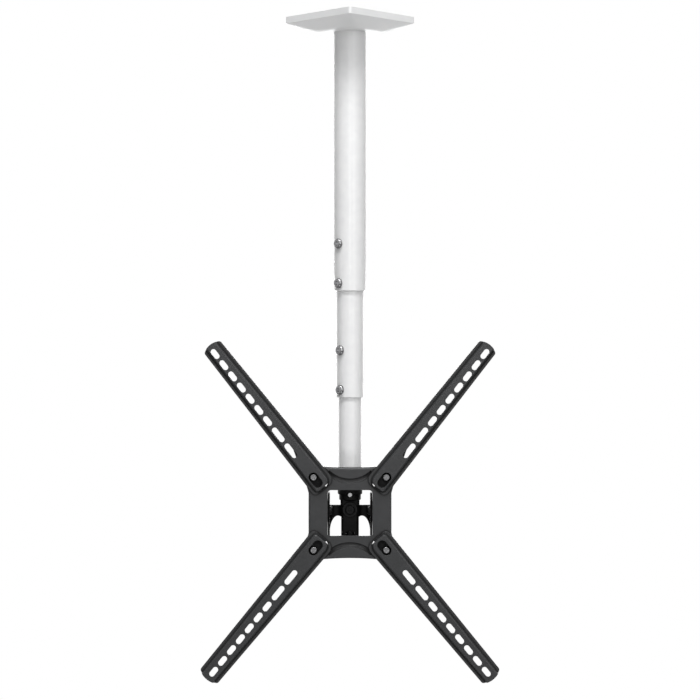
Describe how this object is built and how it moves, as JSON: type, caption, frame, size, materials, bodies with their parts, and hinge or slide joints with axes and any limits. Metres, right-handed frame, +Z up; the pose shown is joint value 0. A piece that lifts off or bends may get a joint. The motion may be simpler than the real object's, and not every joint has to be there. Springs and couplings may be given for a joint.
{
  "type": "tv ceiling mount",
  "caption": "Ceiling mount for a flat screen: a telescoping pole under a square sliding cover, ending in a swivelling, levelling and tilting hub plate with slotted arms.",
  "frame": {"origin": "middle of the ceiling plate's top face", "axes": "+Z up out of the ceiling plate, -Y towards the viewer of the screen, +X to the viewer's right"},
  "size_m": [0.409, 0.1774, 0.919],
  "materials": {
    "white_paint": "satin powder coat",
    "white_moulding": "satin",
    "nylon": "matt",
    "bright_steel": "zinc plated",
    "dark_steel": "black zinc plated",
    "black_paint": "satin powder coat",
    "charcoal_paint": "satin powder coat"
  },
  "bodies": {
    "ceiling": {"ceiling_plate": "white_paint", "upper_tube": "white_paint", "upper_lock_screws": "dark_steel"},
    "cover": {"ceiling_cover": "white_moulding"},
    "mid": {"mid_tube": "white_paint", "mid_tube_glide": "nylon", "mid_lock_screws": "dark_steel"},
    "lower": {"lower_tube": "white_paint", "lower_tube_glide": "nylon", "end_plug": "bright_steel", "plug_pin": "bright_steel", "swivel_washer": "nylon"},
    "head": {"swivel_head": "black_paint", "swivel_lock_screw": "bright_steel", "level_bolt": "dark_steel", "level_washer": "dark_steel", "level_friction_washer": "nylon", "level_back_washer": "dark_steel", "level_nut": "dark_steel"},
    "bracket": {"tilt_bracket": "black_paint", "level_lock_screw": "dark_steel"},
    "hub": {"hub_plate": "charcoal_paint", "tilt_bolts": "dark_steel", "tilt_washers": "dark_steel", "tilt_nuts": "dark_steel", "arm_screws": "dark_steel", "arm_nuts": "dark_steel"},
    "upper_left_arm": {"arm_upper_left": "charcoal_paint"},
    "upper_right_arm": {"arm_upper_right": "charcoal_paint"},
    "lower_left_arm": {"arm_lower_left": "charcoal_paint"},
    "lower_right_arm": {"arm_lower_right": "charcoal_paint"}
  },
  "joints": [
    {"name": "cover_slide", "type": "slide", "parent": "ceiling", "child": "cover", "axis": [0, 0, 1], "range_m": [-0.27, 0]},
    {"name": "mid_slide", "type": "slide", "parent": "ceiling", "child": "mid", "axis": [0, 0, 1], "range_m": [-0.105, 0.07]},
    {"name": "lower_slide", "type": "slide", "parent": "mid", "child": "lower", "axis": [0, 0, 1], "range_m": [-0.13, 0.09]},
    {"name": "swivel", "type": "hinge", "parent": "lower", "child": "head", "pos_m": [0, 0, -0.6535], "axis": [0, 0, 1], "continuous": true},
    {"name": "level", "type": "hinge", "parent": "head", "child": "bracket", "pos_m": [0, 0, -0.684], "axis": [0, 1, 0], "range_deg": [-4, 4]},
    {"name": "tilt", "type": "hinge", "parent": "bracket", "child": "hub", "pos_m": [0, -0.028, -0.684], "axis": [1, 0, 0], "range_deg": [-5, 15]},
    {"name": "upper_left_turn", "type": "hinge", "parent": "hub", "child": "upper_left_arm", "pos_m": [-0.05, -0.04, -0.637], "axis": [0, 1, 0], "range_deg": [-20, 7]},
    {"name": "upper_right_turn", "type": "hinge", "parent": "hub", "child": "upper_right_arm", "pos_m": [0.05, -0.04, -0.637], "axis": [0, 1, 0], "range_deg": [-7, 20]},
    {"name": "lower_left_turn", "type": "hinge", "parent": "hub", "child": "lower_left_arm", "pos_m": [-0.05, -0.04, -0.737], "axis": [0, 1, 0], "range_deg": [-7, 20]},
    {"name": "lower_right_turn", "type": "hinge", "parent": "hub", "child": "lower_right_arm", "pos_m": [0.05, -0.04, -0.737], "axis": [0, 1, 0], "range_deg": [-20, 7]}
  ]
}
